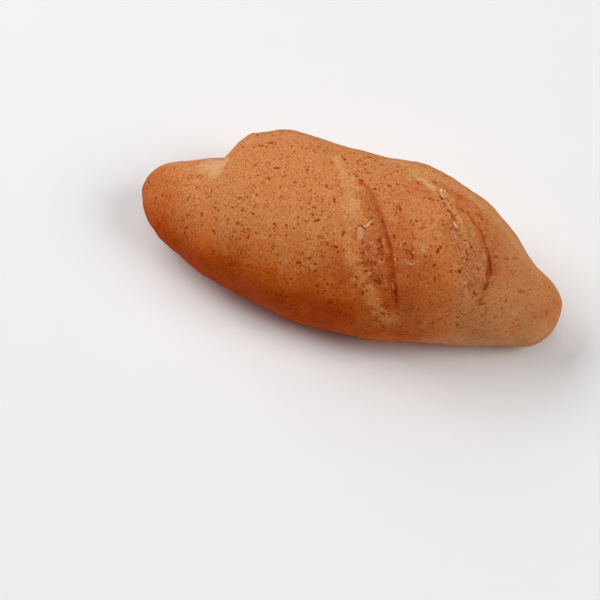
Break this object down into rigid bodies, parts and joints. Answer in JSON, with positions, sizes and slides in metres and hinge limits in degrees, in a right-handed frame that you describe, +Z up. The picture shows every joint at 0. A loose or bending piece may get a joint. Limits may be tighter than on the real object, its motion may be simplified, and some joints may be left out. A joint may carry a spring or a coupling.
{
  "type": "bolillo roll",
  "caption": "Spindle-shaped wholemeal bread roll with knobbed ends and diagonal scores opened across its top, resting on its flat base.",
  "frame": {"origin": "middle of the bounding box, on the flat base that the roll was baked on and rests on", "axes": "+X along the roll from its necked end to its plain end, -Y to the front flank that the scores run down to, +Z up through the scored top"},
  "size_m": [0.16, 0.0682, 0.0532],
  "materials": {
    "crust": "satin"
  },
  "bodies": {
    "root": {"roll": "crust"}
  },
  "joints": []
}
